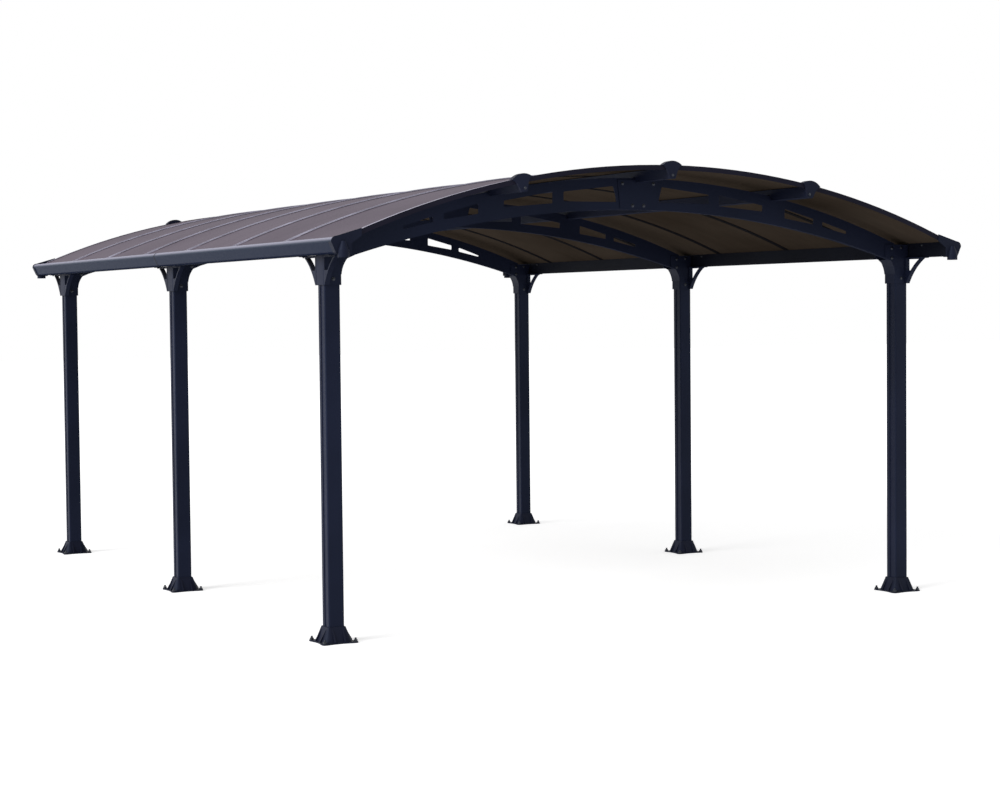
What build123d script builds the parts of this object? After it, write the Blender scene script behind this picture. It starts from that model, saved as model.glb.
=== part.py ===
from build123d import *
import math
import os

# A free-standing carport: an arched roof of seven bent sheets on three trusses and six posts.
# Millimetres. +Z is up, +Y runs from the front to the back, X is across.
# The origin is on the ground in the middle of the plan.

os.makedirs("parts", exist_ok=True)

# Driving sizes of the whole carport
roof_length = 5020.0           # outer faces of the front and back edge profiles
post_spacing_across = 3380.0   # centre to centre
post_overhang = 360.0          # from a corner post's centre to the end of the roof
crown_height = 2266.0          # ground to the underside of the sheets at the ridge
roof_rise = 355.0              # fall of the sheets from the ridge to the gutter's inner wall
running_gap = 0.3              # clearance between pieces that seat on each other

# Posts and feet
post_size = 80.0
post_wall = 2.5
post_corner_radius = 7.0
post_groove_width = 24.0
post_groove_depth = 3.5
post_top_drop = 6.0            # post top below the top of the gutter's inner wall
foot_plate_size = 184.0
foot_plate_thickness = 6.0
foot_anchor_spacing = 158.0    # centre to centre of the anchor holes
foot_anchor_radius = 5.5
foot_scallop_depth = 9.0       # how far the plate's edges curve in between its corner lobes
foot_height = 76.0
foot_skirt_size = 150.0
foot_collar_wall = 5.0
foot_rib_thickness = 7.0
foot_rib_spacing = 52.0
foot_rib_toe = 6.0             # height of a fin's outer end
foot_rib_top_drop = 10.0

# Post-head brackets
bracket_wall = 6.0
bracket_drop = 140.0           # bracket's lower edge below the gutter
cheek_reach = 66.0             # how far the bracket's cheeks lap the truss's end
knee_reach = 34.0              # how far the knee runs in below the truss
knee_drop = 68.0               # knee's toe below the truss's bottom edge
knee_bow = 7.0                 # how far the knee's edge is bowed off its chord
brace_reach = 135.0            # how far a brace runs along the gutter from the bracket
brace_width = 24.0
brace_bar = 9.0
brace_bow = 13.0
brace_web_height = 70.0        # closed part at the foot of a brace
brace_tab_thickness = 4.0
brace_tab_length = 46.0
brace_tab_lap = 30.0           # how far the tab reaches under the gutter

# Gutters and their end caps
gutter_width = 92.0
gutter_bottom_width = 68.0
gutter_outer_height = 74.0
gutter_inner_height = 76.0
gutter_wall = 3.0
gutter_bottom_radius = 16.0
gutter_lip_radius = 22.0
gutter_mouth = 64.0            # inner wall to the tip of the lip
gutter_joint_gap = 0.6
cap_plate = 5.0
cap_wall = 4.0
cap_sleeve_length = 30.0
cap_inboard_reach = 56.0       # how far a cap's face covers the roof's edge profile
cap_throat = 44.0              # cap's inboard edge meets the gutter's inner wall this far up it
spigot_radius = 27.0
spigot_top_radius = 11.0
spigot_bore_radius = 23.0
spigot_offset = 36.0           # spigot's axis from the gutter's inner wall
spigot_below_gutter = 20.0
spigot_shoulder = 12.0         # the spigot narrows from this far above the gutter's floor
spigot_height = 55.0           # top of the spigot above the gutter's floor

# Roof covering
panel_count = 7
sheet_thickness = 6.0
sheet_into_gutter = 52.0       # past the gutter's inner wall
sheet_side_gap = 0.5
rib_bottom_width = 40.0
rib_top_width = 34.0
rib_flange = 3.0
rib_web = 4.0
rib_bead_width = 10.0
rib_bead_height = 4.0
profile_end_gap = 1.0          # from the end of a roof profile to the gutter
edge_profile_wall = 3.0
edge_profile_drop = 15.0       # below the underside of the sheets
edge_profile_lip = 30.0

# Purlins and their end caps
purlin_offset = 850.0          # side purlins from the ridge, along the roof's curve
purlin_width = 50.0
purlin_foot_width = 26.0
purlin_height = 54.0
purlin_wall = 2.5
purlin_cap_plate = 10.0
purlin_cap_saddle = 24.0       # how far the cap's dome laps over the roof
purlin_cap_width = 108.0
purlin_cap_foot_width = 32.0
purlin_cap_rise = 21.0         # dome above the roof's edge profile
purlin_cap_neck = 22.0         # where the dome has narrowed to the neck's width, below the sheets
purlin_cap_neck_width = 56.0
purlin_cap_plug = 24.0

# Trusses: folded steel pans in two halves, spliced at the crown
truss_sheet = 3.0
truss_fold = 30.0              # depth of a truss along the carport
truss_drop = 36.0              # top of the trusses below the underside of the sheets
truss_crown_depth = 160.0
truss_end_depth = 98.0
truss_half_gap = 0.3
opening_corner_radius = 6.0
crown_opening_slant = 22.0     # how much further in the crown opening's inner edge is at its foot
# Each opening: inner end, outer end, height at the inner end, height at the outer end
truss_openings = [
    (145.0, 433.0, 80.0, 48.0),
    (496.0, 770.0, 58.0, 32.0),
    (912.0, 1100.0, 50.0, 30.0),
    (1158.0, 1318.0, 28.0, 16.0),
]
splice_plate = 4.0
splice_top_width = 250.0
splice_bottom_width = 210.0
splice_margin = 8.0

# Derived places
post_x = post_spacing_across / 2
post_y = roof_length / 2 - post_overhang
roof_end = roof_length / 2
head_half = post_size / 2 + running_gap + bracket_wall
gutter_inner_x = post_x + head_half + running_gap
gutter_outer_x = gutter_inner_x + gutter_width
roof_radius = (gutter_inner_x**2 + roof_rise**2) / (2 * roof_rise)
roof_centre_z = crown_height - roof_radius
roof_axis = Axis((0, 0, roof_centre_z), (0, 1, 0))
sheet_end_x = gutter_inner_x + sheet_into_gutter
profile_end_x = gutter_inner_x - profile_end_gap
flange_inner = sheet_thickness + running_gap          # inner face of the upper flanges
profile_top = flange_inner + rib_flange               # top of the ribs' and edges' flanges
truss_end_x = post_x - head_half - running_gap
truss_front_y = -post_size / 2                        # a truss's web lies just behind the front cheeks
truss_back_y = truss_front_y + truss_fold


def roof_z(x, above=0.0):
    """Height of the roof's curve at x, a distance above the underside of the sheets."""
    return roof_centre_z + math.sqrt((roof_radius + above) ** 2 - x * x)


gutter_top_z = roof_z(gutter_inner_x + gutter_wall) - running_gap
gutter_bottom_z = gutter_top_z - gutter_inner_height
post_top_z = gutter_top_z - post_top_drop
bracket_bottom_z = gutter_bottom_z - bracket_drop

# The truss's bottom edge is a flatter arc than the roof
truss_bottom_crown_z = crown_height - truss_drop - truss_crown_depth
truss_bottom_fall = truss_bottom_crown_z - (roof_z(truss_end_x, -truss_drop) - truss_end_depth)
truss_bottom_radius = (truss_end_x**2 + truss_bottom_fall**2) / (2 * truss_bottom_fall)
truss_bottom_centre_z = truss_bottom_crown_z - truss_bottom_radius


def truss_bottom_z(x):
    """Height of the trusses' bottom edge at x."""
    return truss_bottom_centre_z + math.sqrt(truss_bottom_radius**2 - x * x)


SIDES = {"left": -1, "right": 1}
ROWS = {"front": -1, "middle": 0, "back": 1}
ENDS = {"front": -1, "back": 1}


def across(sketch, y_low, y_high):
    """A profile drawn with X across and Y up, made solid from y_low to y_high along the carport."""
    plane = Plane(origin=(0, y_high, 0), x_dir=(1, 0, 0), z_dir=(0, -1, 0))
    return extrude(plane * sketch, amount=y_high - y_low)


def along_arch(section, reach_x):
    """A section drawn as (place along the carport, height above the sheets' underside), bent over the roof."""
    lean = math.degrees(math.asin(reach_x / roof_radius))
    face = (Plane.YZ * (Pos(0, crown_height) * section)).face()
    return revolve(face.rotate(roof_axis, -lean), roof_axis, 2 * lean)


def span(low_x, high_x, low_y, high_y):
    """A rectangle between two corners."""
    centre = Pos((low_x + high_x) / 2, (low_y + high_y) / 2)
    return centre * Rectangle(high_x - low_x, high_y - low_y)


def on_roof(shape, offset):
    """Turn a shape from the ridge to a place along the roof's curve."""
    return shape.rotate(roof_axis, math.degrees(offset / roof_radius))


def save(shape, name):
    export_step(shape, f"parts/{name}.step")


# Posts


def post():
    """A square tube with a shallow groove down each outer and inner face."""
    inner_size = post_size - 2 * post_wall
    section = RectangleRounded(post_size, post_size, post_corner_radius)
    section -= RectangleRounded(inner_size, inner_size, post_corner_radius - post_wall)
    fold = post_groove_depth + post_wall
    for side in (-1, 1):
        fold_x = side * (post_size - fold) / 2
        groove_x = side * (post_size - post_groove_depth) / 2
        section += Pos(fold_x, 0) * Rectangle(fold, post_groove_width + 2 * post_wall)
        section -= Pos(groove_x, 0) * Rectangle(post_groove_depth, post_groove_width)
    foot_z = foot_plate_thickness + running_gap
    return Pos(0, 0, foot_z) * extrude(section, amount=post_top_z - foot_z)


# Feet


def foot_plate():
    """The foot's plate: a lobe round each anchor hole, and edges that curve in between the lobes."""
    half = foot_plate_size / 2
    lobe_at = foot_anchor_spacing / 2
    plate = Rectangle(foot_plate_size, foot_plate_size)
    plate = fillet(plate.vertices(), half - lobe_at)
    bay = lobe_at - (half - lobe_at)
    scallop = make_face(
        [
            ThreePointArc((-bay, half), (0, half - foot_scallop_depth), (bay, half)),
            Line((bay, half), (-bay, half)),
        ]
    )
    for turn in range(4):
        plate -= scallop.rotate(Axis.Z, 90 * turn)
    for sx in (-1, 1):
        for sy in (-1, 1):
            plate -= Pos(sx * lobe_at, sy * lobe_at) * Circle(foot_anchor_radius)
    return plate


def foot():
    """A cast foot: lobed plate, flared skirt, fins, and a socket for the post."""
    shape = extrude(foot_plate(), amount=foot_plate_thickness)

    bore = post_size + 2 * running_gap
    collar = bore + 2 * foot_collar_wall
    flare = (foot_skirt_size - collar) / 2
    rise = foot_height - foot_plate_thickness
    skirt = RectangleRounded(foot_skirt_size, foot_skirt_size, post_corner_radius + flare)
    shape += Pos(0, 0, foot_plate_thickness) * extrude(
        skirt, amount=rise, taper=math.degrees(math.atan(flare / rise))
    )

    fin_end = foot_plate_size / 2 - foot_scallop_depth
    rib = make_face(
        Polyline(
            (0, foot_plate_thickness),
            (fin_end, foot_plate_thickness),
            (fin_end, foot_plate_thickness + foot_rib_toe),
            (collar / 2 + foot_collar_wall, foot_height - foot_rib_top_drop),
            (0, foot_height - foot_rib_top_drop),
            close=True,
        )
    )
    fin = across(rib, -foot_rib_thickness / 2, foot_rib_thickness / 2)
    for offset_y in (-foot_rib_spacing / 2, foot_rib_spacing / 2):
        for turn in range(4):
            shape += (Pos(0, offset_y, 0) * fin).rotate(Axis.Z, 90 * turn)

    socket = RectangleRounded(bore, bore, post_corner_radius + running_gap)
    return shape - Pos(0, 0, foot_plate_thickness) * extrude(socket, amount=foot_height)


# Post-head brackets


def bracket_knee():
    """The plate that fills the corner under the truss, drawn for the right-hand side."""
    inner_x = truss_end_x - knee_reach
    face_x = post_x - head_half
    top_inner = truss_bottom_z(inner_x) - running_gap
    top_outer = truss_bottom_z(face_x) - running_gap
    toe_z = top_outer - knee_drop
    chord = math.hypot(face_x - inner_x, top_inner - toe_z)
    middle_x = (inner_x + face_x) / 2 + knee_bow * (top_inner - toe_z) / chord
    middle_z = (top_inner + toe_z) / 2 + knee_bow * (face_x - inner_x) / chord
    edge = ThreePointArc((inner_x, top_inner), (middle_x, middle_z), (face_x, toe_z))
    root_x = face_x + bracket_wall / 2
    outline = [
        edge,
        Line((face_x, toe_z), (root_x, toe_z)),
        Line((root_x, toe_z), (root_x, top_outer)),
        Line((root_x, top_outer), (face_x, top_outer)),
        Line((face_x, top_outer), (inner_x, top_inner)),
    ]
    return across(make_face(outline), -head_half, head_half)


def bracket_cheeks():
    """The bracket's front and back walls, run on over the end of the truss."""
    face_x = post_x - head_half
    inner_x = face_x - cheek_reach
    cheek = make_face(
        Polyline(
            (inner_x, truss_bottom_z(inner_x) - running_gap),
            (face_x, truss_bottom_z(face_x) - running_gap - bracket_wall),
            (face_x + bracket_wall, truss_bottom_z(face_x) - running_gap - bracket_wall),
            (face_x + bracket_wall, post_top_z),
            (inner_x, post_top_z),
            close=True,
        )
    )
    return across(cheek, -head_half, -head_half + bracket_wall) + across(
        cheek, head_half - bracket_wall, head_half
    )


def bracket_brace():
    """A curved brace with its tab under the gutter, on the bracket's back face, right-hand side."""
    top_z = gutter_bottom_z - running_gap
    tip_y = head_half + brace_reach
    chord = math.hypot(brace_reach, top_z - bracket_bottom_z)
    middle_y = head_half + brace_reach / 2 - brace_bow * (top_z - bracket_bottom_z) / chord
    middle_z = (bracket_bottom_z + top_z) / 2 + brace_bow * brace_reach / chord
    toe = (head_half + brace_bar, bracket_bottom_z)
    edge = ThreePointArc(toe, (middle_y + brace_bar, middle_z), (tip_y, top_z - brace_bar))
    outline = make_face(
        [
            edge,
            Line((tip_y, top_z - brace_bar), (tip_y, top_z)),
            Line((tip_y, top_z), (head_half, top_z)),
            Line((head_half, top_z), (head_half, bracket_bottom_z)),
            Line((head_half, bracket_bottom_z), toe),
        ]
    )
    window = offset(outline, amount=-brace_bar) & span(
        head_half, tip_y, bracket_bottom_z + brace_web_height, top_z
    )
    inner_x = post_x + head_half - brace_width
    frame = Plane(origin=(inner_x, 0, 0), x_dir=(0, 1, 0), z_dir=(1, 0, 0)) * (outline - window)
    bar = extrude(frame, amount=brace_width)
    tab = Pos(0, 0, top_z - brace_tab_thickness) * extrude(
        span(inner_x, gutter_inner_x + brace_tab_lap, tip_y - brace_tab_length, tip_y),
        amount=brace_tab_thickness,
    )
    return bar + tab


def post_head():
    """Sleeve over the post's top with its cheeks, knee and two braces, for a right-hand post at y = 0."""
    outside = 2 * head_half
    bore = post_size + 2 * running_gap
    sleeve = RectangleRounded(outside, outside, post_corner_radius)
    sleeve -= RectangleRounded(bore, bore, post_corner_radius - bracket_wall)
    shape = Pos(post_x, 0, bracket_bottom_z) * extrude(sleeve, amount=post_top_z - bracket_bottom_z)
    brace = bracket_brace()
    for piece in (bracket_cheeks(), bracket_knee(), brace, brace.mirror(Plane.XZ)):
        shape += piece
    return shape


# Gutters, drawn for the right-hand side


def gutter_outline(grow=0.0):
    """The gutter's closed outer outline, grown by a distance all round."""
    x0 = gutter_inner_x
    z0 = gutter_bottom_z
    lip_z = z0 + gutter_outer_height
    lip_cut = gutter_lip_radius * (1 - math.sqrt(0.5))
    outline = make_face(
        [
            Line((x0, z0), (x0 + gutter_bottom_width, z0)),
            Line((x0 + gutter_bottom_width, z0), (x0 + gutter_width, lip_z - gutter_lip_radius)),
            ThreePointArc(
                (x0 + gutter_width, lip_z - gutter_lip_radius),
                (x0 + gutter_width - lip_cut, lip_z - lip_cut),
                (x0 + gutter_width - gutter_lip_radius, lip_z),
            ),
            Line((x0 + gutter_width - gutter_lip_radius, lip_z), (x0 + gutter_mouth, lip_z)),
            Line((x0 + gutter_mouth, lip_z), (x0 + gutter_wall, gutter_top_z)),
            Line((x0 + gutter_wall, gutter_top_z), (x0, gutter_top_z)),
            Line((x0, gutter_top_z), (x0, z0)),
        ]
    )
    corner = outline.vertices().sort_by_distance((x0 + gutter_bottom_width, z0, 0))[0]
    outline = fillet(corner, gutter_bottom_radius)
    return offset(outline, amount=grow, kind=Kind.INTERSECTION) if grow else outline


def gutter(y_low, y_high):
    """An open channel with a rolled outer lip."""
    outer = gutter_outline()
    inner = offset(outer, amount=-gutter_wall, kind=Kind.INTERSECTION)
    mouth = span(
        gutter_inner_x + gutter_wall,
        gutter_inner_x + gutter_mouth,
        gutter_top_z - gutter_lip_radius / 2,
        gutter_top_z + gutter_lip_radius,
    )
    return across(outer - inner - mouth, y_low, y_high)


def gutter_cap():
    """End cap on the back end of the right-hand gutter, with its outlet spigot."""
    grow = cap_wall + running_gap
    inboard_x = gutter_inner_x - cap_inboard_reach
    lip_z = gutter_bottom_z + gutter_outer_height + grow
    shoulder = make_face(
        Polyline(
            (inboard_x, roof_z(inboard_x, profile_top + cap_wall)),
            (gutter_outer_x - gutter_lip_radius, lip_z),
            (gutter_inner_x, gutter_bottom_z + cap_throat),
            (gutter_inner_x - grow, gutter_bottom_z + cap_throat),
            (inboard_x, roof_z(inboard_x, -edge_profile_drop - cap_wall)),
            close=True,
        )
    )
    low_y = roof_end + running_gap
    cap = across(gutter_outline(grow) + shoulder, low_y, low_y + cap_plate)

    sleeve = gutter_outline(grow) - gutter_outline(running_gap)
    clear = span(
        gutter_inner_x + gutter_wall,
        gutter_outer_x + 2 * cap_wall,
        gutter_bottom_z - 2 * cap_wall,
        gutter_bottom_z + gutter_outer_height - gutter_lip_radius,
    )
    cap += across(sleeve & clear, low_y - cap_sleeve_length, low_y)

    shoulder_z = gutter_bottom_z + spigot_shoulder
    top_z = gutter_bottom_z + spigot_height
    low_z = gutter_bottom_z - spigot_below_gutter
    profile = make_face(
        Polyline(
            (0, low_z),
            (spigot_radius, low_z),
            (spigot_radius, shoulder_z),
            (spigot_top_radius, top_z),
            (0, top_z),
            close=True,
        )
    )
    bell = revolve(Plane.XZ * profile, Axis.Z)
    bore = Pos(0, 0, low_z) * extrude(Circle(spigot_bore_radius), amount=spigot_below_gutter)
    behind = Pos(0, -cap_plate - cap_sleeve_length, gutter_bottom_z - grow) * Box(
        4 * spigot_radius,
        2 * cap_sleeve_length,
        2 * gutter_outer_height,
        align=(Align.CENTER, Align.CENTER, Align.MIN),
    )
    spigot = Pos(gutter_inner_x + spigot_offset, low_y + cap_plate, 0)
    return cap + spigot * (bell - behind) - spigot * bore


# Roof covering


def sheet(y_low, y_high):
    """One bent roof sheet."""
    return along_arch(span(y_low, y_high, 0, sheet_thickness), sheet_end_x)


def roof_rib(y):
    """A joint profile between two sheets: wide flange below, narrow flange and bead above."""
    below = span(y - rib_bottom_width / 2, y + rib_bottom_width / 2, -running_gap - rib_flange, -running_gap)
    foot = span(y - rib_web / 2, y + rib_web / 2, -running_gap, 0)
    web = span(y - rib_web / 2, y + rib_web / 2, 0, flange_inner)
    above = span(y - rib_top_width / 2, y + rib_top_width / 2, flange_inner, profile_top)
    bead = span(y - rib_bead_width / 2, y + rib_bead_width / 2, profile_top, profile_top + rib_bead_height)
    return along_arch(below + foot, profile_end_x) + along_arch(web + above + bead, sheet_end_x)


def edge_profile():
    """The profile along the back edge of the roof, notched for the purlins."""
    face_y = roof_end - edge_profile_wall
    lip_y = roof_end - edge_profile_lip
    section = span(face_y, roof_end, -edge_profile_drop, profile_top)
    section += span(lip_y, roof_end, flange_inner, profile_top)
    section += span(lip_y, roof_end, -running_gap - rib_flange, -running_gap)
    shape = along_arch(section, profile_end_x)
    for offset_x in (-purlin_offset, 0, purlin_offset):
        shape -= on_roof(purlin_block(), offset_x)
    return shape


# Purlins


def purlin_section(grow=0.0):
    """A purlin's outline at the ridge, grown by a distance all round: it narrows towards its foot."""
    top = crown_height - rib_flange - 2 * running_gap
    outline = make_face(
        Polyline(
            (-purlin_width / 2, top),
            (-purlin_foot_width / 2, top - purlin_height),
            (purlin_foot_width / 2, top - purlin_height),
            (purlin_width / 2, top),
            close=True,
        )
    )
    return offset(outline, amount=grow, kind=Kind.INTERSECTION) if grow else outline


def purlin_block():
    """The space that a purlin at the ridge fills, with its clearance."""
    return across(purlin_section(running_gap), -roof_end - running_gap, roof_end + running_gap)


def purlin(offset_x):
    """A tube along the carport, turned to lie flat under the roof."""
    return on_roof(across(purlin_section() - purlin_section(-purlin_wall), -roof_end, roof_end), offset_x)


def purlin_cap(offset_x):
    """Domed cap over the back end of a purlin, lapping over the edge of the roof."""
    base_z = crown_height + profile_top
    half = purlin_cap_width / 2
    neck = purlin_cap_neck_width / 2
    foot_half = purlin_cap_foot_width / 2
    neck_z = crown_height - purlin_cap_neck
    foot_z = crown_height - rib_flange - 2 * running_gap - purlin_height
    hollow = (neck + (half - neck) / 3, (base_z + neck_z) / 2)
    outline = make_face(
        [
            ThreePointArc((-half, base_z), (0, base_z + purlin_cap_rise), (half, base_z)),
            ThreePointArc((half, base_z), hollow, (neck, neck_z)),
            Line((neck, neck_z), (foot_half, foot_z)),
            Line((foot_half, foot_z), (-foot_half, foot_z)),
            Line((-foot_half, foot_z), (-neck, neck_z)),
            ThreePointArc((-neck, neck_z), (-hollow[0], hollow[1]), (-half, base_z)),
        ]
    )
    low_y = roof_end + running_gap
    cap = across(outline, low_y, low_y + purlin_cap_plate)
    saddle = outline - Pos(0, roof_centre_z) * Circle(roof_radius + profile_top + running_gap)
    cap += across(saddle, roof_end - purlin_cap_saddle, low_y)
    plug = purlin_section(-purlin_wall - running_gap)
    cap += across(plug, low_y - purlin_cap_plug, low_y)
    return on_roof(cap, offset_x)


# Trusses, drawn for the right-hand side at y = 0


def truss_band(low_x, high_x, inset=0.0):
    """The truss's outline between two places, drawn in by a distance top and bottom."""
    band = Pos(0, roof_centre_z) * Circle(roof_radius - truss_drop - inset)
    band -= Pos(0, truss_bottom_centre_z) * Circle(truss_bottom_radius + inset)
    return band & span(low_x, high_x, truss_bottom_z(truss_end_x) - truss_end_depth, crown_height)


def truss_opening(low_x, high_x, low_height, high_height, slant=0.0):
    """One tapering opening, centred between the truss's edges."""
    low_middle = (roof_z(low_x, -truss_drop) + truss_bottom_z(low_x)) / 2
    high_middle = (roof_z(high_x, -truss_drop) + truss_bottom_z(high_x)) / 2
    outline = make_face(
        Polyline(
            (low_x - slant, low_middle - low_height / 2),
            (high_x, high_middle - high_height / 2),
            (high_x, high_middle + high_height / 2),
            (low_x, low_middle + low_height / 2),
            close=True,
        )
    )
    return fillet(outline.vertices(), opening_corner_radius)


def truss_half():
    """Half a truss: a web with its edges folded back, openings, and notches for the purlins."""
    low_x = truss_half_gap
    shape = across(truss_band(low_x, truss_end_x), truss_front_y, truss_back_y)
    shape -= across(
        truss_band(low_x + truss_sheet, truss_end_x - truss_sheet, truss_sheet),
        truss_front_y + truss_sheet,
        truss_back_y,
    )
    for number, opening in enumerate(truss_openings):
        slant = crown_opening_slant if number == 0 else 0.0
        shape -= across(truss_opening(*opening, slant), truss_front_y, truss_front_y + truss_sheet)
    for offset_x in (0, purlin_offset):
        shape -= on_roof(purlin_block(), offset_x)
    return shape


def splice_plates():
    """The two plates that join a truss's halves at the crown, notched for the ridge purlin."""
    top_z = crown_height
    bottom_z = truss_bottom_crown_z
    outline = make_face(
        Polyline(
            (-splice_bottom_width / 2, bottom_z),
            (splice_bottom_width / 2, bottom_z),
            (splice_top_width / 2, top_z),
            (-splice_top_width / 2, top_z),
            close=True,
        )
    )
    outline &= truss_band(-splice_top_width, splice_top_width, splice_margin)
    near_y = truss_front_y - running_gap
    far_y = truss_back_y + running_gap
    front = across(outline, near_y - splice_plate, near_y)
    back = across(outline, far_y, far_y + splice_plate)
    block = purlin_block()
    return [front - block, back - block]


# Assembly

right_post = Pos(post_x, 0, 0) * post()
right_foot = Pos(post_x, 0, 0) * foot()
right_head = post_head()
right_truss = truss_half()
right_cap = gutter_cap()
gutter_spans = {"front": (-roof_end, -gutter_joint_gap / 2), "back": (gutter_joint_gap / 2, roof_end)}

splices = []
for row, row_sign in ROWS.items():
    place = Pos(0, row_sign * post_y, 0)
    splices += [place * plate for plate in splice_plates()]
    for side, side_sign in SIDES.items():
        for kind, right_piece in (
            ("post", right_post),
            ("foot", right_foot),
            ("post_head", right_head),
            ("truss", right_truss),
        ):
            piece = right_piece if side_sign > 0 else right_piece.mirror(Plane.YZ)
            save(place * piece, f"{kind}_{side}_{row}")
save(Compound(children=splices), "truss_splices")

for side, side_sign in SIDES.items():
    for end, (low_y, high_y) in gutter_spans.items():
        piece = gutter(low_y, high_y)
        save(piece if side_sign > 0 else piece.mirror(Plane.YZ), f"gutter_{side}_{end}")

for end, end_sign in ENDS.items():
    caps = [right_cap, right_cap.mirror(Plane.YZ)]
    domes = [purlin_cap(offset_x) for offset_x in (-purlin_offset, 0, purlin_offset)]
    if end_sign < 0:
        caps = [cap.mirror(Plane.XZ) for cap in caps]
        domes = [dome.mirror(Plane.XZ) for dome in domes]
    save(Compound(children=caps), f"gutter_caps_{end}")
    save(Compound(children=domes), f"purlin_caps_{end}")

for name, offset_x in (("left", -purlin_offset), ("ridge", 0), ("right", purlin_offset)):
    save(purlin(offset_x), f"purlin_{name}")

panel_pitch = (roof_length - 2 * edge_profile_wall) / panel_count
joints = [-roof_end + edge_profile_wall + number * panel_pitch for number in range(panel_count + 1)]
for number in range(panel_count):
    low_y = joints[number] + (rib_web / 2 if number > 0 else 0) + sheet_side_gap
    high_y = joints[number + 1] - (rib_web / 2 if number < panel_count - 1 else 0) - sheet_side_gap
    save(sheet(low_y, high_y), f"roof_sheet_{number + 1}")
save(Compound(children=[roof_rib(y) for y in joints[1:-1]]), "roof_ribs")
back_edge = edge_profile()
save(Compound(children=[back_edge, back_edge.mirror(Plane.XZ)]), "roof_edge_profiles")
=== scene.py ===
# %% [markdown]
# # A carport with an arched roof
#
# This notebook dresses a carport whose metal frame is already modelled: six posts, three arched
# trusses, purlins, gutters and a roof of seven bent sheets. The frame arrives as fixed objects, and
# each of them stands where it stands on the real carport, in metres. What is left to do here is the
# finish of every surface, and the small things that a maker adds last: bolts, nuts, washers, screws,
# the rubber seals beside the roof's ribs and the bands over the gutters' joints.

# %% Load the frame
import math

import bmesh
import bpy
from mathutils import Matrix, Vector


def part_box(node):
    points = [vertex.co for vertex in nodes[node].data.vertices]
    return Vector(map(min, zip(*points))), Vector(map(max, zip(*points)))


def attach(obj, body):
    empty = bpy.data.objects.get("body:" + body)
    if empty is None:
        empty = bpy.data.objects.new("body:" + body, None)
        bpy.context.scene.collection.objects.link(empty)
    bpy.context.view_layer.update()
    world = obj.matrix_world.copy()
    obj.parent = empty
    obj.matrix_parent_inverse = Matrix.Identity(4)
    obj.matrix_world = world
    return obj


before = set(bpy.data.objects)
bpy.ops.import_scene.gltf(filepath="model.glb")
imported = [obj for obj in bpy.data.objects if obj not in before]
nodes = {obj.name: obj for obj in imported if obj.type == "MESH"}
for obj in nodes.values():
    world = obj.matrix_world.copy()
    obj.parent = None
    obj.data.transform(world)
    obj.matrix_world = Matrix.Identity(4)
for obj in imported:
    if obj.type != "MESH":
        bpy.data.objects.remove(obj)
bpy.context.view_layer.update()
print("nodes in the frame:", len(nodes))

# %% [markdown]
# ## Places read from the frame
#
# Every bolt has to sit on the plate that it holds. We could type its place in by hand, but then it
# would float if the carport changed size. The rest is worked out from a few of those boxes and from
# short named distances, such as a plate's thickness.

# %% Read the frame's places
mm = 0.001


def middle(low, high):
    return (low + high) / 2


rows = {}
for row in ("front", "middle", "back"):
    row_low, row_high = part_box(f"post_right_{row}")
    rows[row] = middle(row_low[1], row_high[1])
sides = {"left": -1, "right": 1}
post_low, post_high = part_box("post_right_front")
post_x = middle(post_low[0], post_high[0])
foot_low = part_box("foot_right_front")[0]
head_low, head_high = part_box("post_head_right_front")
gutter_low, gutter_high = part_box("gutter_right_front")
truss_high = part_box("truss_right_front")[1]
splice_low, splice_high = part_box("truss_splices")
cap_low, cap_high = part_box("purlin_caps_front")
ribs_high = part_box("roof_ribs")[1]
print("post centre", round(post_x, 3), "rows", rows)

# %% [markdown]
# ## The roof's arc
#
# The roof is part of a cylinder. Three things fix it: how wide a sheet is, how high its crown is and
# how low its ends are. The chord and the rise give the radius, and the radius gives the height of the
# axis that the arch turns about. The seals and the cap screws are placed round that axis.

# %% Work out the arc
sheet_low, sheet_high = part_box("roof_sheet_4")
sheet_thickness = 6 * mm
half_chord = sheet_high[0]
crown_z = sheet_high[2]


def arc_radius(half_width, rise):
    return (half_width**2 + rise**2) / (2 * rise)


# The lowest corner belongs to the underside. The outer corner is taken as a sheet's thickness above it.
# The sheet leans there, so that is half a millimetre too high, and the seals' ends stand off by as much
outer_radius = arc_radius(half_chord, crown_z - sheet_low[2] - sheet_thickness)
axis_z = crown_z - outer_radius
underside_radius = outer_radius - sheet_thickness
print("roof radius", round(outer_radius, 3), "axis height", round(axis_z, 3))

# %% [markdown]
# ## Helpers for materials
#
# Every finish here is built from nodes that read Object coordinates, so the grain has a real size
# and stays put when the view changes. A small function that adds a node and sets its inputs keeps
# each finish short enough to read.

# %% Node helpers


def new_material(name):
    material = bpy.data.materials.new(name)
    material.use_nodes = True
    tree = material.node_tree
    return material, tree, tree.nodes["Principled BSDF"]


def add_node(tree, kind, **inputs):
    node = tree.nodes.new(kind)
    for key, value in inputs.items():
        node.inputs[key.replace("_", " ")].default_value = value
    return node


def object_coordinates(tree):
    return tree.nodes.new("ShaderNodeTexCoord").outputs["Object"]


def noise(tree, scale, detail=3.0, roughness=0.5, stretch=None):
    node = add_node(tree, "ShaderNodeTexNoise", Scale=scale, Detail=detail, Roughness=roughness)
    source = object_coordinates(tree)
    if stretch:
        mapping = add_node(tree, "ShaderNodeMapping", Scale=stretch)
        tree.links.new(source, mapping.inputs["Vector"])
        source = mapping.outputs["Vector"]
    tree.links.new(source, node.inputs["Vector"])
    return node.outputs["Fac"]


def ramp(tree, factor, stops):
    node = tree.nodes.new("ShaderNodeValToRGB")
    while len(node.color_ramp.elements) < len(stops):
        node.color_ramp.elements.new(0.5)
    for element, (place, colour) in zip(node.color_ramp.elements, stops):
        element.position = place
        element.color = (*colour, 1.0)
    tree.links.new(factor, node.inputs["Fac"])
    return node.outputs["Color"]


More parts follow.
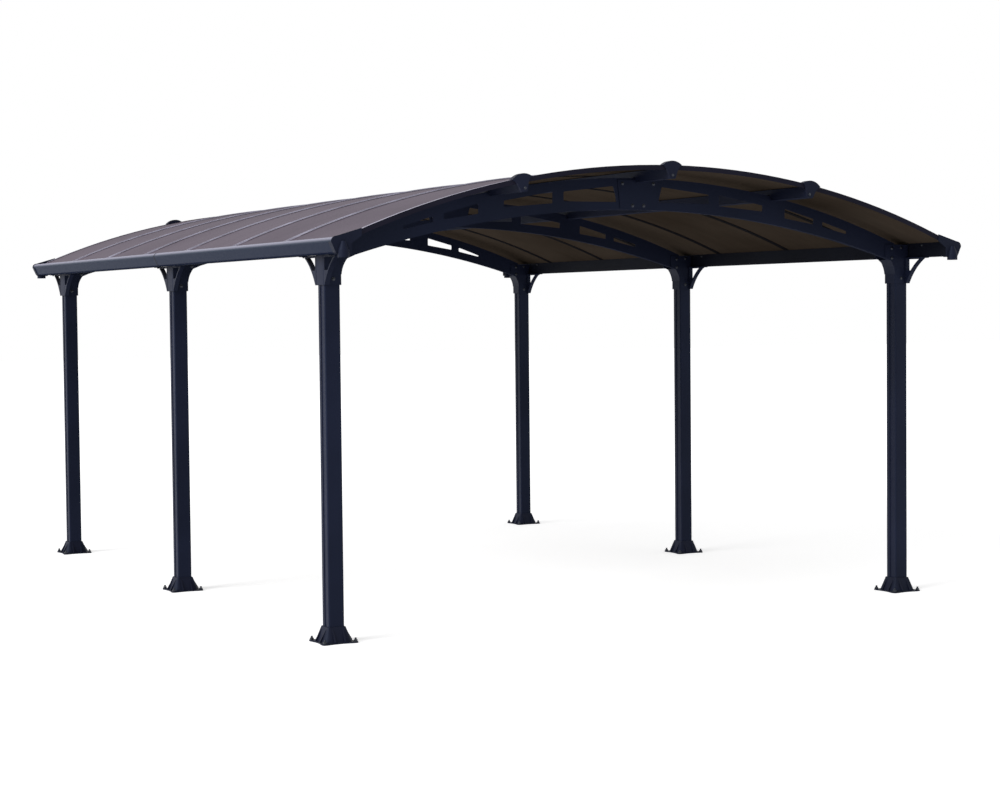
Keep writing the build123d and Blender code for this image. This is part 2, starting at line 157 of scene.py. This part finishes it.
def value_range(tree, factor, low, high, source_low=0.0, source_high=1.0):
    node = add_node(tree, "ShaderNodeMapRange", From_Min=source_low, From_Max=source_high,
                    To_Min=low, To_Max=high)
    tree.links.new(factor, node.inputs["Value"])
    return node.outputs["Result"]


def larger(tree, first, second):
    node = tree.nodes.new("ShaderNodeMath")
    node.operation = "MAXIMUM"
    tree.links.new(first, node.inputs[0])
    tree.links.new(second, node.inputs[1])
    return node.outputs[0]


def mix_colours(tree, factor, first, second, blend="MIX"):
    node = tree.nodes.new("ShaderNodeMix")
    node.data_type = "RGBA"
    node.blend_type = blend
    for socket, source in ((node.inputs[0], factor), (node.inputs[6], first), (node.inputs[7], second)):
        if isinstance(source, bpy.types.NodeSocket):
            tree.links.new(source, socket)
        else:
            socket.default_value = source
    return node.outputs[2]


def bump(tree, shader, height, strength, distance):
    node = add_node(tree, "ShaderNodeBump", Strength=strength, Distance=distance)
    tree.links.new(height, node.inputs["Height"])
    tree.links.new(node.outputs["Normal"], shader.inputs["Normal"])


def set_colour(tree, shader, source):
    tree.links.new(source, shader.inputs["Base Color"])


print("patterns:", [helper.__name__ for helper in (noise, ramp, value_range, larger, mix_colours, bump)])

# %% [markdown]
# ## Upper and lower faces
#
# Faces that look up at the sky are painted a paler tint, a painted reflection of the sky. Faces that
# look down keep the darker colour and turn nearly matt, because dust from the road clings to them. The
# object-space normal says which way a surface faces. Its height component, turned into a factor from 0
# to 1, lets one finish have two tints and two kinds of gloss, whatever side the carport is seen from.

# %% Factors for upper and lower faces
fully_down = -0.85             # height component of the normal where a face is quite matt
barely_down = -0.3             # and where it starts to turn matt


def facing_up(tree, start, end):
    coordinates = tree.nodes.new("ShaderNodeTexCoord")
    split = tree.nodes.new("ShaderNodeSeparateXYZ")
    tree.links.new(coordinates.outputs["Normal"], split.inputs["Vector"])
    return value_range(tree, split.outputs["Z"], 0.0, 1.0, start, end)


def dull_below(tree, roughness):
    """A roughness that grows to quite matt on faces that look down."""
    down = value_range(tree, facing_up(tree, fully_down, barely_down), 1.0, 0.0)
    return larger(tree, roughness, down)


print("matt below a normal of", fully_down)

# %% [markdown]
# ## Powder coat
#
# The posts, trusses and castings are sprayed with powder that is melted in an oven. It flows into a
# fine, even skin with a slight orange peel. One flat colour would look like plastic, so the dark blue
# drifts gently over half a metre and the roughness varies with the dust on it. The coat mirrors little
# when it is looked at squarely and more at a low angle, which is what a low specular level gives.

# %% Powder-coat finishes
coat_reflection_tint = (0.60, 0.76, 1.0, 1.0)
peel_depth = 0.4 * mm
dust_smoother = 0.07           # how far dust takes the roughness down and up
dust_rougher = 0.09


def powder_skin(tree, shader, roughness, gloss, peel_scale=900.0, peel=0.06):
    """The gloss, the dusty roughness and the orange peel that all the powder coats share."""
    dust = noise(tree, scale=55.0, detail=5.0, roughness=0.65)
    dusty = value_range(tree, dust, roughness - dust_smoother, roughness + dust_rougher)
    tree.links.new(dull_below(tree, dusty), shader.inputs["Roughness"])
    bump(tree, shader, noise(tree, scale=peel_scale, detail=2.0), peel, peel_depth)
    shader.inputs["Specular IOR Level"].default_value = gloss
    shader.inputs["Specular Tint"].default_value = coat_reflection_tint


def drifting(tree, colour):
    """A colour that drifts slowly to a darker and a lighter shade of itself."""
    darker = tuple(channel * 0.80 for channel in colour)
    lighter = tuple(channel * 1.25 for channel in colour)
    return ramp(tree, noise(tree, scale=2.2, detail=2.0), [(0.35, darker), (0.5, colour), (0.68, lighter)])


def powder_coat(name, colour, upper_reflection_colour, roughness, gloss, **skin):
    material, tree, shader = new_material(name)
    # Faces that look up take the upper colour, a painted reflection of the sky
    up = facing_up(tree, 0.35, 0.8)
    set_colour(tree, shader, mix_colours(tree, up, drifting(tree, colour), (*upper_reflection_colour, 1.0)))
    powder_skin(tree, shader, roughness, gloss, **skin)
    return material


# The upper colours of these coats are a painted reflection of the sky on faces that look up
frame_coat = powder_coat(
    "frame_powder_coat", colour=(0.0092, 0.0116, 0.0272), upper_reflection_colour=(0.030, 0.031, 0.040),
    roughness=0.48, gloss=0.11,
)
casting_coat = powder_coat(
    "casting_powder_coat", colour=(0.0092, 0.0108, 0.0235), upper_reflection_colour=(0.018, 0.019, 0.030),
    roughness=0.50, gloss=0.11, peel_scale=420.0, peel=0.16,
)
# The edge profile's pale upper colour is a painted highlight, a painted reflection of the sky on its top
edge_coat = powder_coat(
    "roof_edge_coat", colour=(0.0120, 0.0110, 0.0200), upper_reflection_colour=(0.330, 0.315, 0.400),
    roughness=0.42, gloss=0.06,
)
print("coats:", [coat.name for coat in (frame_coat, casting_coat, edge_coat)])

# %% [markdown]
# ## Coat of the gutters
#
# A gutter's outer wall leans out and rolls over into a lip. Its light and shade are painted into the
# colour: the lean is painted dark, the start of the roll lighter, and the top of the lip carries a
# painted highlight, a pale line. So its tint follows the normal's height component through a ramp. The
# inner wall is painted darkest, as painted shade from the roof, and it is told apart by its distance
# from the carport's middle.

# %% Gutter coat
inner_wall_reach = 4 * mm      # the inner wall ends within this distance of its inner face


def beyond(tree, distance):
    """1 where a point lies further than a distance to the left or right of the carport's middle."""
    split = tree.nodes.new("ShaderNodeSeparateXYZ")
    tree.links.new(object_coordinates(tree), split.inputs["Vector"])
    aside = tree.nodes.new("ShaderNodeMath")
    aside.operation = "ABSOLUTE"
    tree.links.new(split.outputs["X"], aside.inputs[0])
    return value_range(tree, aside.outputs[0], 0.0, 1.0, distance, distance + 1 * mm)


def gutter_finish():
    material, tree, shader = new_material("gutter_powder_coat")
    lean = facing_up(tree, -1.0, 1.0)
    # The ramp paints shade on the lean and a painted highlight on the top of the lip
    outer_wall = ramp(tree, lean, [
        (0.27, (0.0070, 0.0115, 0.0310)),
        (0.33, (0.0160, 0.0240, 0.0450)),
        (0.60, (0.0280, 0.0360, 0.0560)),
        (0.90, (0.2700, 0.2680, 0.3400)),
    ])
    # The inner wall's dark colour is painted shade from the roof
    inner_wall = drifting(tree, (0.0065, 0.0072, 0.0125))
    outer = beyond(tree, gutter_low[0] + inner_wall_reach)
    set_colour(tree, shader, mix_colours(tree, outer, inner_wall, outer_wall))
    powder_skin(tree, shader, roughness=0.48, gloss=0.05)
    return material


gutter_coat = gutter_finish()
print("gutter coat:", gutter_coat.name)

# %% [markdown]
# ## Ribs between the roof sheets
#
# A rib is one aluminium profile that clamps two sheets. Above the sheets it is painted a pale
# lavender grey, a painted reflection of the sky, and shows as fine light lines, and below them it is
# almost black. The two parts are told apart by their distance from the roof's axis, worked out from
# Object coordinates.

# %% Rib finish


def outside_sheets(tree):
    """1 where a point lies further from the roof's axis than the sheets' underside, and 0 below it."""
    source = object_coordinates(tree)
    steps = (("ADD", (0.0, 0.0, -axis_z)), ("MULTIPLY", (1.0, 0.0, 1.0)), ("LENGTH", None))
    for operation, amount in steps:
        node = tree.nodes.new("ShaderNodeVectorMath")
        node.operation = operation
        tree.links.new(source, node.inputs[0])
        if amount:
            node.inputs[1].default_value = amount
        source = node.outputs["Value" if operation == "LENGTH" else "Vector"]
    return value_range(tree, source, 0.0, 1.0, underside_radius, underside_radius + 1 * mm)


def rib_coat():
    material, tree, shader = new_material("roof_rib_coat")
    pale_variation = noise(tree, scale=6.0, detail=4.0)
    # The pale colour above the sheets is a painted reflection of the sky, varied at random
    pale = ramp(tree, pale_variation, [(0.35, (0.320, 0.305, 0.375)), (0.65, (0.460, 0.445, 0.540))])
    shaded = (0.0055, 0.0050, 0.0065, 1.0)
    set_colour(tree, shader, mix_colours(tree, outside_sheets(tree), shaded, pale))
    powder_skin(tree, shader, roughness=0.50, gloss=0.03)
    return material


rib_finish = rib_coat()
print("rib finish:", rib_finish.name)

# %% [markdown]
# ## Roof sheet
#
# The roof is twin-wall plastic, tinted bronze. Two thin skins are joined by flutes about 6 mm apart
# that run from gutter to gutter. Faces that look up are painted a purplish grey, a painted reflection
# of the sky, and faces that look down are a dark warm brown. A wave texture along the carport draws the
# flutes, in the colour and as a shallow relief, and rain has left faint streaks down the slope. The
# gloss is a clear coat on the upper skin alone, so the underside stays dull.

# %% Bronze sheet finish
flute_pitch = 6 * mm
flute_depth = 0.4 * mm
wave_turns = 20                # a wave texture's bands are 2 pi / 20 apart at a scale of 1
streak_stretch = (1.2, 26.0, 1.2)
top_gloss = 0.18               # weight of the clear coat on the upper skin


def flutes(tree):
    scale = 2 * math.pi / (wave_turns * flute_pitch)
    wave = add_node(tree, "ShaderNodeTexWave", Scale=scale, Distortion=0.0)
    wave.wave_type = "BANDS"
    wave.bands_direction = "Y"
    tree.links.new(object_coordinates(tree), wave.inputs["Vector"])
    return wave.outputs["Fac"]


def bronze_sheet():
    material, tree, shader = new_material("bronze_twin_wall")
    cloud = noise(tree, scale=1.3, detail=2.0)
    streaks = noise(tree, scale=1.0, detail=4.0, roughness=0.6, stretch=streak_stretch)
    under = ramp(tree, cloud, [(0.35, (0.050, 0.037, 0.027)), (0.65, (0.076, 0.058, 0.044))])
    # The upper colour is a painted reflection of the sky on faces that look up
    upper = ramp(tree, cloud, [(0.35, (0.114, 0.091, 0.120)), (0.65, (0.136, 0.110, 0.142))])
    up = facing_up(tree, -0.2, 0.2)
    tint = mix_colours(tree, up, under, upper)
    wave = flutes(tree)
    stripe = ramp(tree, wave, [(0.0, (0.84, 0.84, 0.84)), (1.0, (1.0, 1.0, 1.0))])
    washed = ramp(tree, streaks, [(0.3, (0.88, 0.88, 0.89)), (0.7, (1.0, 1.0, 1.0))])
    fluted = mix_colours(tree, 1.0, tint, stripe, "MULTIPLY")
    set_colour(tree, shader, mix_colours(tree, 1.0, fluted, washed, "MULTIPLY"))
    tree.links.new(value_range(tree, streaks, 0.46, 0.62), shader.inputs["Roughness"])
    bump(tree, shader, wave, 0.12, flute_depth)
    shader.inputs["Specular IOR Level"].default_value = 0.0
    tree.links.new(value_range(tree, up, 0.0, top_gloss), shader.inputs["Coat Weight"])
    shader.inputs["Coat Roughness"].default_value = 0.3
    return material


sheet_finish = bronze_sheet()
print("sheet finish:", sheet_finish.name)

# %% [markdown]
# ## Finishes of the small parts
#
# Bolts and nuts are zinc-plated steel under a dark wax: metallic, with a fine grain. The seals are
# black rubber, which mirrors almost nothing and has a dusty, slightly grainy skin.

# %% Small finishes


def plain_metal(name, colour, roughness):
    material, tree, shader = new_material(name)
    grain = noise(tree, scale=350.0)
    darker = tuple(channel * 0.7 for channel in colour)
    set_colour(tree, shader, ramp(tree, grain, [(0.3, darker), (0.7, colour)]))
    tree.links.new(value_range(tree, grain, roughness - 0.08, roughness + 0.08), shader.inputs["Roughness"])
    shader.inputs["Metallic"].default_value = 1.0
    return material


def seal_rubber():
    material, tree, shader = new_material("seal_rubber")
    grain = noise(tree, scale=700.0, detail=2.0)
    blacks = [(0.3, (0.008, 0.008, 0.009)), (0.7, (0.016, 0.016, 0.017))]
    set_colour(tree, shader, ramp(tree, grain, blacks))
    shader.inputs["Roughness"].default_value = 0.7
    shader.inputs["Specular IOR Level"].default_value = 0.2
    bump(tree, shader, grain, 0.1, 0.2 * mm)
    return material


bolt_metal = plain_metal("waxed_zinc_bolt", (0.050, 0.054, 0.066), 0.36)
rubber = seal_rubber()
print("bolts:", bolt_metal.name, "seals:", rubber.name)

# %% [markdown]
# ## Finishes on the frame
#
# A frame node keeps its mesh as it came, and takes its look through its material slots. One function
# maps a node's name to the finish that such a piece has, so no node can be forgotten.

# %% Put the finishes on the frame


def finish_for(node):
    if node.startswith("roof_sheet"):
        return sheet_finish
    if node == "roof_ribs":
        return rib_finish
    if node == "roof_edge_profiles":
        return edge_coat
    if node.startswith(("foot", "purlin_caps", "gutter_caps")):
        return casting_coat
    if node.startswith("gutter"):
        return gutter_coat
    return frame_coat


for name, piece in nodes.items():
    for material_slot in piece.material_slots:
        material_slot.material = finish_for(name)
print("finished nodes:", len(nodes))

# %% [markdown]
# ## How a small part is made
#
# Bolts, nuts and washers are turned or sawn from round or six-sided bar. A cone with two equal radii
# is such a bar, with as many sides as we ask for, and a bevel breaks its two rims. The bar stands on
# z = 0 and grows upwards, so a whole fastener is a short stack of bars, drawn once. A domed head is
# half a ball, cut at its widest ring and flattened.

# %% Bars and domes
round_sides = 20
hex_sides = 6
level = 0.001 * mm             # two points this close in height are level


def bar(mesh, radius, low, high, sides=round_sides, rim=0.4 * mm):
    made = bmesh.ops.create_cone(
        mesh, cap_ends=True, cap_tris=False, segments=sides, radius1=radius, radius2=radius,
        depth=high - low, matrix=Matrix.Translation((0, 0, middle(low, high))),
    )
    around = {edge for vertex in made["verts"] for edge in vertex.link_edges}
    rims = [edge for edge in around if abs(edge.verts[0].co.z - edge.verts[1].co.z) < level]
    bmesh.ops.bevel(mesh, geom=rims, offset=rim, affect="EDGES", segments=2, profile=0.5, material=-1)


def everything(mesh):
    return mesh.verts[:] + mesh.edges[:] + mesh.faces[:]


def close_openings(mesh):
    open_edges = [edge for edge in mesh.edges if edge.is_boundary]
    bmesh.ops.holes_fill(mesh, edges=open_edges, sides=0)


def add_copy(mesh, source, place=None):
    """Add a copy of a bmesh to another one, moved by a matrix."""
    data = bpy.data.meshes.new("copy")
    source.to_mesh(data)
    if place:
        data.transform(place)
    mesh.from_mesh(data)
    bpy.data.meshes.remove(data)


def dome(mesh, radius, low, height):
    """The upper half of a ball, flattened to a height, as on a button-headed screw."""
    ball = bmesh.new()
    bmesh.ops.create_uvsphere(ball, u_segments=round_sides, v_segments=10, radius=radius)
    # The ball has a ring of points on the cut already, and dist makes the cut use them
    bmesh.ops.bisect_plane(
        ball, geom=everything(ball), dist=level, plane_co=(0, 0, 0), plane_no=(0, 0, -1), clear_outer=True,
    )
    close_openings(ball)
    bmesh.ops.scale(ball, vec=(1, 1, height / radius), verts=ball.verts)
    bmesh.ops.translate(ball, vec=(0, 0, low), verts=ball.verts)
    add_copy(mesh, ball)
    ball.free()


print("sides of a round bar:", round_sides, "and of a nut:", hex_sides)

# %% [markdown]
# ## Four fasteners
#
# - A button screw: a thin washer under a low dome. It shows on the frame's front faces, and a smaller
#   one sits on the purlins' caps and on the gutters' inner walls.
# - A locking nut: a washer, a hexagon and the domed end of its nylon ring. It shows on the back faces.
# - An anchor bolt: a broad washer, a hexagon nut and a threaded stud, set in the ground.
# - A self-drilling screw: a small hexagon head on a flange.

# %% Draw the fasteners
washer = 1.4 * mm              # thickness of a bolt's washer


def button_screw(radius=7.5 * mm, height=5.0 * mm):
    mesh = bmesh.new()
    bar(mesh, radius * 1.25, 0.0, washer)
    dome(mesh, radius, washer, height)
    return mesh


def locking_nut():
    nut_top = 7.4 * mm
    mesh = bmesh.new()
    bar(mesh, 9.0 * mm, 0.0, washer)
    bar(mesh, 7.5 * mm, washer, nut_top, hex_sides, rim=0.6 * mm)
    dome(mesh, 5.6 * mm, nut_top, 2.2 * mm)
    return mesh


def anchor_bolt():
    broad_washer = 2.0 * mm
    nut_top = 10.0 * mm
    thread_start = 11.0 * mm
    thread_pitch = 1.5 * mm
    thread_width = 0.8 * mm
    mesh = bmesh.new()
    bar(mesh, 11.0 * mm, 0.0, broad_washer)
    bar(mesh, 9.8 * mm, broad_washer, nut_top, hex_sides, rim=0.8 * mm)
    bar(mesh, 5.0 * mm, nut_top, 19.0 * mm, rim=0.9 * mm)
    for turn in range(5):
        thread_z = thread_start + thread_pitch * turn
        bar(mesh, 5.4 * mm, thread_z, thread_z + thread_width, rim=0.35 * mm)
    return mesh


def drilling_screw():
    flange = 1.2 * mm
    mesh = bmesh.new()
    bar(mesh, 6.5 * mm, 0.0, flange)
    bar(mesh, 4.6 * mm, flange, 5.4 * mm, hex_sides)
    return mesh


fasteners = {
    "button": button_screw(),
    "cap": button_screw(6.0 * mm, 3.6 * mm),
    "nut": locking_nut(),
    "anchor": anchor_bolt(),
    "drilling": drilling_screw(),
}
print("faces of each fastener:", {kind: len(mesh.faces) for kind, mesh in fasteners.items()})

# %% [markdown]
# ## Placing fasteners
#
# A fastener is drawn pointing up, and has to point out of the plate that it sits on. A quaternion that
# turns +Z to the plate's outward direction does that, also on a sloping plate. All the fasteners of
# one joint become one piece, which rides on the carport's only body.

# %% Piece helpers
forward = (0, -1, 0)
backward = (0, 1, 0)
upward = (0, 0, 1)
downward = (0, 0, -1)


def finish_piece(name, mesh, material):
    data = bpy.data.meshes.new(name)
    mesh.to_mesh(data)
    mesh.free()
    data.materials.append(material)
    piece = bpy.data.objects.new(name, data)
    bpy.context.collection.objects.link(piece)
    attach(piece, "root")
    return piece


def fasten(name, placements):
    """One piece from a list of (kind, place, outward direction)."""
    mesh = bmesh.new()
    for kind, place, outward in placements:
        turn = Vector(upward).rotation_difference(Vector(outward)).to_matrix().to_4x4()
        add_copy(mesh, fasteners[kind], Matrix.Translation(place) @ turn)
    return finish_piece(name, mesh, bolt_metal)


def bolt_through(name, holes, front_y, back_y):
    """Button heads on a front plate and nuts behind it, at a list of (x, z) holes."""
    heads = [("button", (x, front_y, z), forward) for x, z in holes]
    nuts = [("nut", (x, back_y, z), backward) for x, z in holes]
    return fasten(name, heads + nuts)


print("directions:", forward, backward, upward, downward)

# %% [markdown]
# ## Anchor bolts in the feet
#
# Each foot's plate has a lobe at every corner with a hole in it. A stud comes up through the hole, and
# a broad washer and a nut hold the plate down. The bolts stand on the plate's upper face.

# %% Anchor bolts
foot_plate = 6 * mm
lobe = 79 * mm                 # from the post's axis to an anchor hole, along x and along y
plate_top = foot_low[2] + foot_plate
for side, sign in sides.items():
    for row, y in rows.items():
        corners = [(x, along) for x in (-lobe, lobe) for along in (-lobe, lobe)]
        anchors = [("anchor", (sign * post_x + x, y + along, plate_top), upward) for x, along in corners]
        fasten(f"anchor_bolts_{side}_{row}", anchors)
print("anchor bolts:", len(anchors) * len(rows) * len(sides))

# %% [markdown]
# ## Bolts of the trusses' splices
#
# The two halves of a truss meet at the crown between two plates. Two bolts near the lower edge and two
# near the upper corners clamp them. The button heads are on the front plate and the nuts behind.

# %% Splice bolts
splice_front = rows["front"] - splice_low[1]
splice_back = splice_high[1] - rows["back"]
low_bolt_spread = 33 * mm      # from the crown's middle, sideways
top_bolt_spread = 92 * mm
splice_low_z = splice_low[2] + 14 * mm
splice_top_z = splice_high[2] - 20 * mm
splice_holes = [
    (-low_bolt_spread, splice_low_z),
    (low_bolt_spread, splice_low_z),
    (-top_bolt_spread, splice_top_z),
    (top_bolt_spread, splice_top_z),
]
for row, y in rows.items():
    bolt_through(f"splice_bolts_{row}", splice_holes, y - splice_front, y + splice_back)
print("splice bolts:", len(splice_holes) * len(rows))

# %% [markdown]
# ## Bolts of the post heads
#
# The bracket on a post laps the end of the truss with two cheeks. Two bolts, one above the other, go
# through cheeks and truss. One bolt near the bracket's top and one near its lower edge hold it to the
# post. The same bolts show on the bracket's back with their nuts.

# %% Post-head bolts
cheek_y = 46.3 * mm            # from a row's middle to the outer face of a bracket's cheeks
truss_bolt_x = truss_high[0] - 22 * mm
post_bolt_x = post_x - 4 * mm
head_holes = [
    (truss_bolt_x, head_high[2] - 20 * mm),
    (truss_bolt_x, head_high[2] - 72 * mm),
    (post_bolt_x, head_high[2] - 16 * mm),
    (post_bolt_x, head_low[2] + 28 * mm),
]
for side, sign in sides.items():
    for row, y in rows.items():
        side_holes = [(sign * x, z) for x, z in head_holes]
        bolt_through(f"head_bolts_{side}_{row}", side_holes, y - cheek_y, y + cheek_y)
print("post-head bolts:", len(head_holes) * len(rows) * len(sides))

# %% [markdown]
# ## Screws of the gutters
#
# A brace runs up from each side of a bracket and ends in a tab under the gutter. A drilling screw goes
# up through the tab, and a small button screw sits above it, near the top of the gutter's inner wall.
# Both are short, and only their heads show.

# %% Gutter screws
tab_centre = 158 * mm          # from a row's middle to the middle of a brace's tab
tab_screw_z = gutter_low[2] - 4.3 * mm
tab_screw_x = gutter_low[0] + 15 * mm
wall_screw_z = gutter_high[2] - 11 * mm
for side, sign in sides.items():
    for row, y in rows.items():
        screws = []
        for along in (-tab_centre, tab_centre):
            screws.append(("drilling", (sign * tab_screw_x, y + along, tab_screw_z), downward))
            screws.append(("cap", (sign * gutter_low[0], y + along, wall_screw_z), (-sign, 0, 0)))
        fasten(f"gutter_screws_{side}_{row}", screws)
print("gutter screws:", len(screws) * len(rows) * len(sides))

# %% [markdown]
# ## Screws of the purlin caps
#
# Each purlin ends in a cast cap, held by one screw through its neck. The side caps are turned with the
# roof, so their screws are turned round the roof's axis too. The angle takes the straight distance
# across for the distance along the arc. That is a little short, so the side screws sit about 5 mm
# nearer the ridge than the middles of their caps.

# %% Purlin cap screws
screw_below_crown = 41 * mm
cap_half_width = 54 * mm
cap_angle = (cap_high[0] - cap_half_width) / outer_radius
screw_radius = underside_radius - screw_below_crown
cap_ends = {"front": (cap_low[1], forward), "back": (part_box("purlin_caps_back")[1][1], backward)}
for end, (face_y, outward) in cap_ends.items():
    screws = []
    for angle in (-cap_angle, 0.0, cap_angle):
        place = (screw_radius * math.sin(angle), face_y, axis_z + screw_radius * math.cos(angle))
        screws.append(("cap", place, outward))
    fasten(f"cap_screws_{end}", screws)
for mesh in fasteners.values():
    mesh.free()
print("cap screws:", len(screws) * len(cap_ends))

# %% [markdown]
# ## Seals beside the ribs
#
# A rib's upper flange presses on the sheet through a strip of rubber, and a thin edge of it shows on
# both sides. The strip follows the roof's arc. A small rectangle, spun about the roof's axis, makes it
# in one operation. The first and the last section become its end faces.

# %% Rubber seals
seal_width = 2.6 * mm
seal_height = 1.6 * mm
seal_steps = 56
flange_half = 17 * mm          # half the width of a rib's upper flange
edge_lip = 30 * mm             # from the roof's end to the inner rim of an edge profile
seal_cut_back = 66 * mm        # taken off a rib's half width
# Laid along the arc, that ends a seal about 50 mm short of the gutter's inner wall
seal_reach = (ribs_high[0] - seal_cut_back) / outer_radius
roof_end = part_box("roof_edge_profiles")[1][1]
sheet_count = 7


def joint_after(number):
    """The middle of the joint between a roof sheet and the next one."""
    return middle(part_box(f"roof_sheet_{number}")[1][1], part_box(f"roof_sheet_{number + 1}")[0][1])


def arc_strip(mesh, low_y):
    """A strip of seal along the arc, drawn round an axis through the origin."""
    high_y = low_y + seal_width
    top_radius = outer_radius + seal_height
    section = [(low_y, outer_radius), (high_y, outer_radius), (high_y, top_radius), (low_y, top_radius)]
    start = Matrix.Rotation(-seal_reach, 4, "Y")
    corners = [mesh.verts.new(start @ Vector((0, y, radius))) for y, radius in section]
    face = mesh.faces.new(corners)
    bmesh.ops.spin(
        mesh, geom=[face], cent=(0, 0, 0), axis=(0, 1, 0), angle=2 * seal_reach,
        steps=seal_steps, use_merge=False, use_duplicate=False,
    )


seal_places = []
for number in range(1, sheet_count):
    joint = joint_after(number)
    seal_places += [joint - flange_half - seal_width, joint + flange_half]
seal_places += [-roof_end + edge_lip, roof_end - edge_lip - seal_width]

seal_mesh = bmesh.new()
for low_y in seal_places:
    arc_strip(seal_mesh, low_y)
bmesh.ops.translate(seal_mesh, vec=(0, 0, axis_z), verts=seal_mesh.verts)
bmesh.ops.recalc_face_normals(seal_mesh, faces=seal_mesh.faces)
seals = finish_piece("roof_seals", seal_mesh, rubber)
print("seal strips:", len(seal_places), "faces:", len(seals.data.polygons))

# %% [markdown]
# ## Sealing bands of the gutter joints
#
# Each gutter is two lengths that meet in the middle of the carport. A narrow rubber band covers the
# joint. The gutter's own end is the best pattern for it, so a slice of that end is copied, drawn out
# over the joint, and made a little larger, so that it stands proud of the outer wall, lip and floor.

# %% Gutter bands
band_half = 4 * mm
band_proud = 0.8 * mm
gutter_size = Vector(gutter_high) - Vector(gutter_low)
gutter_middle_z = middle(gutter_low[2], gutter_high[2])


def gutter_band(side, sign):
    mesh = bmesh.new()
    mesh.from_mesh(nodes[f"gutter_{side}_front"].data)
    bmesh.ops.remove_doubles(mesh, verts=mesh.verts, dist=0.01 * mm)
    bmesh.ops.bisect_plane(
        mesh, geom=everything(mesh), plane_co=(0, -band_half, 0), plane_no=(0, -1, 0), clear_outer=True,
    )
    close_openings(mesh)
    far_end = [vertex for vertex in mesh.verts if vertex.co.y > -band_half / 2]
    bmesh.ops.translate(mesh, vec=(0, band_half - far_end[0].co.y, 0), verts=far_end)
    # It is scaled about the inner wall's face, so it doesn't grow into the bracket beside that face
    growth = (1 + band_proud / gutter_size.x, 1.0, 1 + 2 * band_proud / gutter_size.z)
    anchor = Matrix.Translation((-sign * gutter_low[0], 0, -gutter_middle_z))
    bmesh.ops.scale(mesh, vec=growth, space=anchor, verts=mesh.verts)
    bmesh.ops.recalc_face_normals(mesh, faces=mesh.faces)
    return finish_piece(f"gutter_band_{side}", mesh, rubber)


bands = [gutter_band(side, sign) for side, sign in sides.items()]
print("faces of each band:", [len(band.data.polygons) for band in bands])

# %% [markdown]
# ## Floor
#
# The carport stands on a pale floor. It is a large flat square that glows a little to the camera, so
# it joins the white sky, and keeps a faint shadow. The glow shows to the camera, in reflections and
# through glass, and lights nothing else.

# %% Floor
floor_half = 60.0
floor_glow = 0.55


def seen_directly(tree):
    """1 for what the camera sees, also in a mirror or through glass, and 0 for light."""
    path = tree.nodes.new("ShaderNodeLightPath")
    seen = path.outputs["Is Camera Ray"]
    for ray in ("Is Glossy Ray", "Is Transmission Ray"):
        seen = larger(tree, seen, path.outputs[ray])
    return seen


def pale_floor():
    material, tree, shader = new_material("pale_floor")
    shader.inputs["Base Color"].default_value = (0.80, 0.80, 0.80, 1.0)
    shader.inputs["Roughness"].default_value = 0.9
    shader.inputs["Specular IOR Level"].default_value = 0.0
    shader.inputs["Emission Color"].default_value = (1.0, 1.0, 1.0, 1.0)
    glow = value_range(tree, seen_directly(tree), 0.0, floor_glow)
    tree.links.new(glow, shader.inputs["Emission Strength"])
    return material


floor_mesh = bmesh.new()
bmesh.ops.create_grid(floor_mesh, x_segments=1, y_segments=1, size=floor_half)
floor_data = bpy.data.meshes.new("floor")
floor_mesh.to_mesh(floor_data)
floor_mesh.free()
floor = bpy.data.objects.new("floor", floor_data)
bpy.context.collection.objects.link(floor)
floor_data.materials.append(pale_floor())
print("floor side, m:", 2 * floor_half)

# %% [markdown]
# ## Light
#
# A soft broad lamp from the left, low enough to light the posts' left faces, and an even sky light the
# carport plainly. The sky is white to the camera and in mirrors, and a dimmer even grey to everything
# that it lights.

# %% Light


def even_sky(light_strength):
    world = bpy.data.worlds.new("studio")
    world.use_nodes = True
    tree = world.node_tree
    background = tree.nodes["Background"]
    background.inputs["Color"].default_value = (1.0, 1.0, 1.0, 1.0)
    strength = value_range(tree, seen_directly(tree), light_strength, 1.0)
    tree.links.new(strength, background.inputs["Strength"])
    bpy.context.scene.world = world


def soft_lamp(name, direction, strength, spread_degrees):
    data = bpy.data.lights.new(name, "SUN")
    data.energy = strength
    data.angle = math.radians(spread_degrees)
    lamp = bpy.data.objects.new(name, data)
    lamp.rotation_euler = Vector(direction).to_track_quat("-Z", "Y").to_euler()
    bpy.context.collection.objects.link(lamp)


even_sky(0.55)
soft_lamp("left_window", direction=(1.0, 0.12, -0.45), strength=2.9, spread_degrees=35)
print("sky and one soft lamp")

# %% [markdown]
# ## Camera
#
# The camera stands to the left of the front, with a lens longer than normal, about a metre and a half
# above the ground. It is turned about the vertical, tipped down, and then rolled a little. The lens
# follows from the focal length in pixels, which is how wide a one-metre thing looks from one metre
# away.

# %% Camera
camera_place = Vector((-5.538, -11.103, 1.560))
camera_yaw = 27.98
camera_pitch = -2.46
camera_roll = -0.57
focal_pixels = 2054.7
frame_width_pixels = 1000
sensor_width = 36.0
farthest_seen = 500.0

camera_data = bpy.data.cameras.new("camera")
camera_data.sensor_width = sensor_width
camera_data.lens = focal_pixels * sensor_width / frame_width_pixels
camera_data.clip_end = farthest_seen
camera = bpy.data.objects.new("camera", camera_data)
camera.matrix_world = (
    Matrix.Translation(camera_place)
    @ Matrix.Rotation(math.radians(-camera_yaw), 4, "Z")
    @ Matrix.Rotation(math.radians(90 + camera_pitch), 4, "X")
    @ Matrix.Rotation(math.radians(camera_roll), 4, "Z")
)
bpy.context.collection.objects.link(camera)
bpy.context.scene.camera = camera
bpy.context.scene.view_settings.view_transform = "Standard"
print("lens, mm:", round(camera_data.lens, 1))
